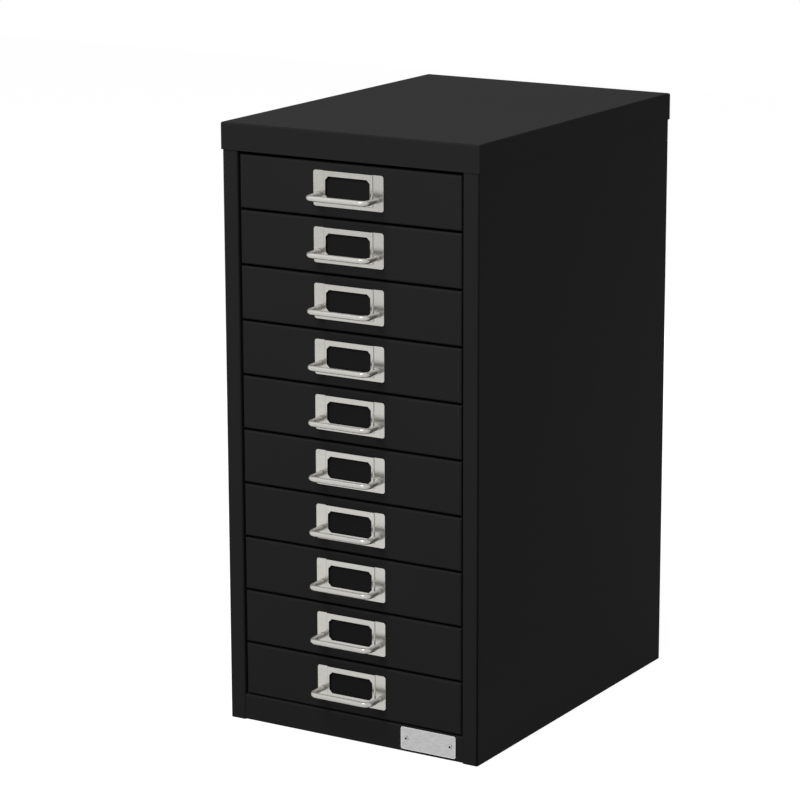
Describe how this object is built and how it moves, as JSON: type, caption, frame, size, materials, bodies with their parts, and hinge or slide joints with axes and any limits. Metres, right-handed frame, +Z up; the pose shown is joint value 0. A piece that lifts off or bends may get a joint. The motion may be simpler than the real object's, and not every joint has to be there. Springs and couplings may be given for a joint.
{
  "type": "drawer cabinet",
  "caption": "Upright sheet-metal desktop cabinet with a stack of shallow sliding drawers, each with a windowed label plate and a fixed bail pull.",
  "frame": {"origin": "centre of the carcass footprint, on the underside that rests on the floor or desk", "axes": "+Z up; -Y towards the user, the way the drawers pull out; +X to the user's right"},
  "size_m": [0.283, 0.4072, 0.595],
  "materials": {
    "black_powder_coat": "satin, very fine orange peel",
    "satin_nickel": "satin nickel plate",
    "brushed_aluminium": "brushed, bare",
    "zinc_plated_steel": "bright zinc plate"
  },
  "bodies": {
    "carcass": {"top_cap": "black_powder_coat", "left_side": "black_powder_coat", "right_side": "black_powder_coat", "back_panel": "black_powder_coat", "base_pan": "black_powder_coat", "plinth_rail": "black_powder_coat", "left_runner_rack": "black_powder_coat", "right_runner_rack": "black_powder_coat", "badge_plate": "brushed_aluminium", "badge_rivets": "brushed_aluminium"},
    "drawer_01": {"drawer_01_tray": "black_powder_coat", "drawer_01_front": "black_powder_coat", "drawer_01_label_plate": "satin_nickel", "drawer_01_bail_pull": "satin_nickel", "drawer_01_nuts": "zinc_plated_steel"},
    "drawer_02": {"drawer_02_tray": "black_powder_coat", "drawer_02_front": "black_powder_coat", "drawer_02_label_plate": "satin_nickel", "drawer_02_bail_pull": "satin_nickel", "drawer_02_nuts": "zinc_plated_steel"},
    "drawer_03": {"drawer_03_tray": "black_powder_coat", "drawer_03_front": "black_powder_coat", "drawer_03_label_plate": "satin_nickel", "drawer_03_bail_pull": "satin_nickel", "drawer_03_nuts": "zinc_plated_steel"},
    "drawer_04": {"drawer_04_tray": "black_powder_coat", "drawer_04_front": "black_powder_coat", "drawer_04_label_plate": "satin_nickel", "drawer_04_bail_pull": "satin_nickel", "drawer_04_nuts": "zinc_plated_steel"},
    "drawer_05": {"drawer_05_tray": "black_powder_coat", "drawer_05_front": "black_powder_coat", "drawer_05_label_plate": "satin_nickel", "drawer_05_bail_pull": "satin_nickel", "drawer_05_nuts": "zinc_plated_steel"},
    "drawer_06": {"drawer_06_tray": "black_powder_coat", "drawer_06_front": "black_powder_coat", "drawer_06_label_plate": "satin_nickel", "drawer_06_bail_pull": "satin_nickel", "drawer_06_nuts": "zinc_plated_steel"},
    "drawer_07": {"drawer_07_tray": "black_powder_coat", "drawer_07_front": "black_powder_coat", "drawer_07_label_plate": "satin_nickel", "drawer_07_bail_pull": "satin_nickel", "drawer_07_nuts": "zinc_plated_steel"},
    "drawer_08": {"drawer_08_tray": "black_powder_coat", "drawer_08_front": "black_powder_coat", "drawer_08_label_plate": "satin_nickel", "drawer_08_bail_pull": "satin_nickel", "drawer_08_nuts": "zinc_plated_steel"},
    "drawer_09": {"drawer_09_tray": "black_powder_coat", "drawer_09_front": "black_powder_coat", "drawer_09_label_plate": "satin_nickel", "drawer_09_bail_pull": "satin_nickel", "drawer_09_nuts": "zinc_plated_steel"},
    "drawer_10": {"drawer_10_tray": "black_powder_coat", "drawer_10_front": "black_powder_coat", "drawer_10_label_plate": "satin_nickel", "drawer_10_bail_pull": "satin_nickel", "drawer_10_nuts": "zinc_plated_steel"}
  },
  "joints": [
    {"name": "drawer_01_slide", "type": "slide", "parent": "carcass", "child": "drawer_01", "axis": [0, -1, 0], "range_m": [0, 0.285]},
    {"name": "drawer_02_slide", "type": "slide", "parent": "carcass", "child": "drawer_02", "axis": [0, -1, 0], "range_m": [0, 0.285]},
    {"name": "drawer_03_slide", "type": "slide", "parent": "carcass", "child": "drawer_03", "axis": [0, -1, 0], "range_m": [0, 0.285]},
    {"name": "drawer_04_slide", "type": "slide", "parent": "carcass", "child": "drawer_04", "axis": [0, -1, 0], "range_m": [0, 0.285]},
    {"name": "drawer_05_slide", "type": "slide", "parent": "carcass", "child": "drawer_05", "axis": [0, -1, 0], "range_m": [0, 0.285]},
    {"name": "drawer_06_slide", "type": "slide", "parent": "carcass", "child": "drawer_06", "axis": [0, -1, 0], "range_m": [0, 0.285]},
    {"name": "drawer_07_slide", "type": "slide", "parent": "carcass", "child": "drawer_07", "axis": [0, -1, 0], "range_m": [0, 0.285]},
    {"name": "drawer_08_slide", "type": "slide", "parent": "carcass", "child": "drawer_08", "axis": [0, -1, 0], "range_m": [0, 0.285]},
    {"name": "drawer_09_slide", "type": "slide", "parent": "carcass", "child": "drawer_09", "axis": [0, -1, 0], "range_m": [0, 0.285]},
    {"name": "drawer_10_slide", "type": "slide", "parent": "carcass", "child": "drawer_10", "axis": [0, -1, 0], "range_m": [0, 0.285]}
  ]
}
